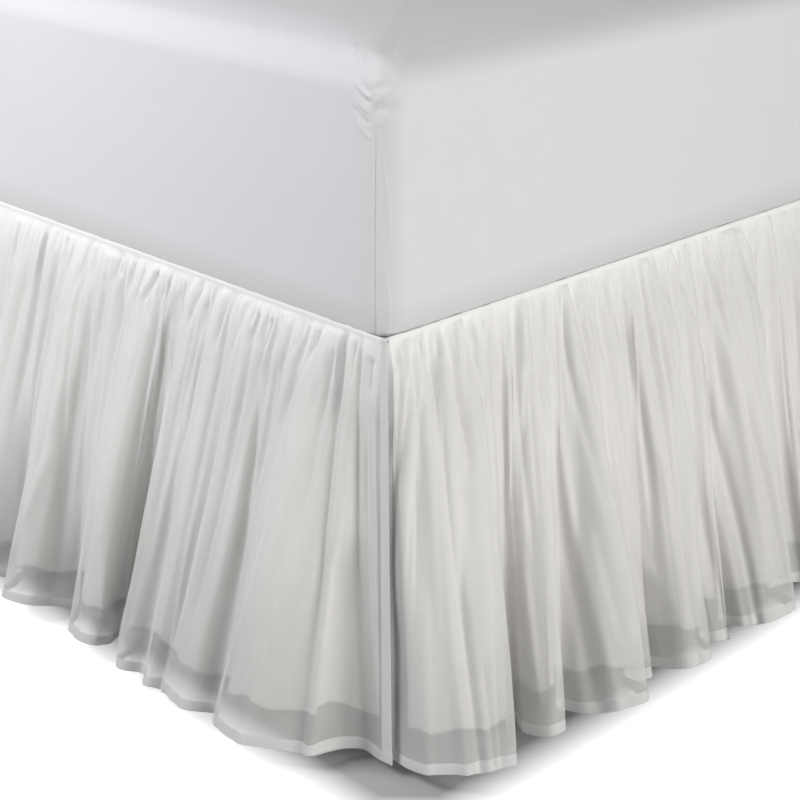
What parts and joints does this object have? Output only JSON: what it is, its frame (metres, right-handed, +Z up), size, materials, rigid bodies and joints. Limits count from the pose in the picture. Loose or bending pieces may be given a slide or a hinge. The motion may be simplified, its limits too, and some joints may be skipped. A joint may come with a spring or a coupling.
{
  "type": "bed skirt on a mattress and bed",
  "caption": "Gathered voile bed skirt with shorter linings and split corners, hanging round three sides of a plain mattress, base and frame.",
  "frame": {"origin": "on the floor, under the middle of the bounding box of everything built", "axes": "+Z up, +Y towards the head of the bed, +X towards the bed's right side seen from the foot"},
  "size_m": [1.8739, 2.1761, 0.7325],
  "materials": {
    "fitted_sheet": "smooth matte percale",
    "deck_cotton": "plain matte cotton",
    "voile": "sheer plain-weave voile",
    "lining_cotton": "matte cotton lining",
    "ticking": "matte woven ticking",
    "frame_steel": "satin black"
  },
  "bodies": {
    "root": {"mattress": "fitted_sheet", "deck": "deck_cotton", "skirt_foot": "voile", "skirt_right": "voile", "skirt_left": "voile", "lining_foot": "lining_cotton", "lining_right": "lining_cotton", "lining_left": "lining_cotton", "box_spring": "ticking", "rail_foot": "frame_steel", "rail_head": "frame_steel", "rail_left": "frame_steel", "rail_right": "frame_steel", "rail_middle": "frame_steel", "leg_foot_left": "frame_steel", "leg_foot_right": "frame_steel", "leg_middle_left": "frame_steel", "leg_middle_right": "frame_steel", "leg_head_left": "frame_steel", "leg_head_right": "frame_steel", "leg_centre": "frame_steel"}
  },
  "joints": []
}
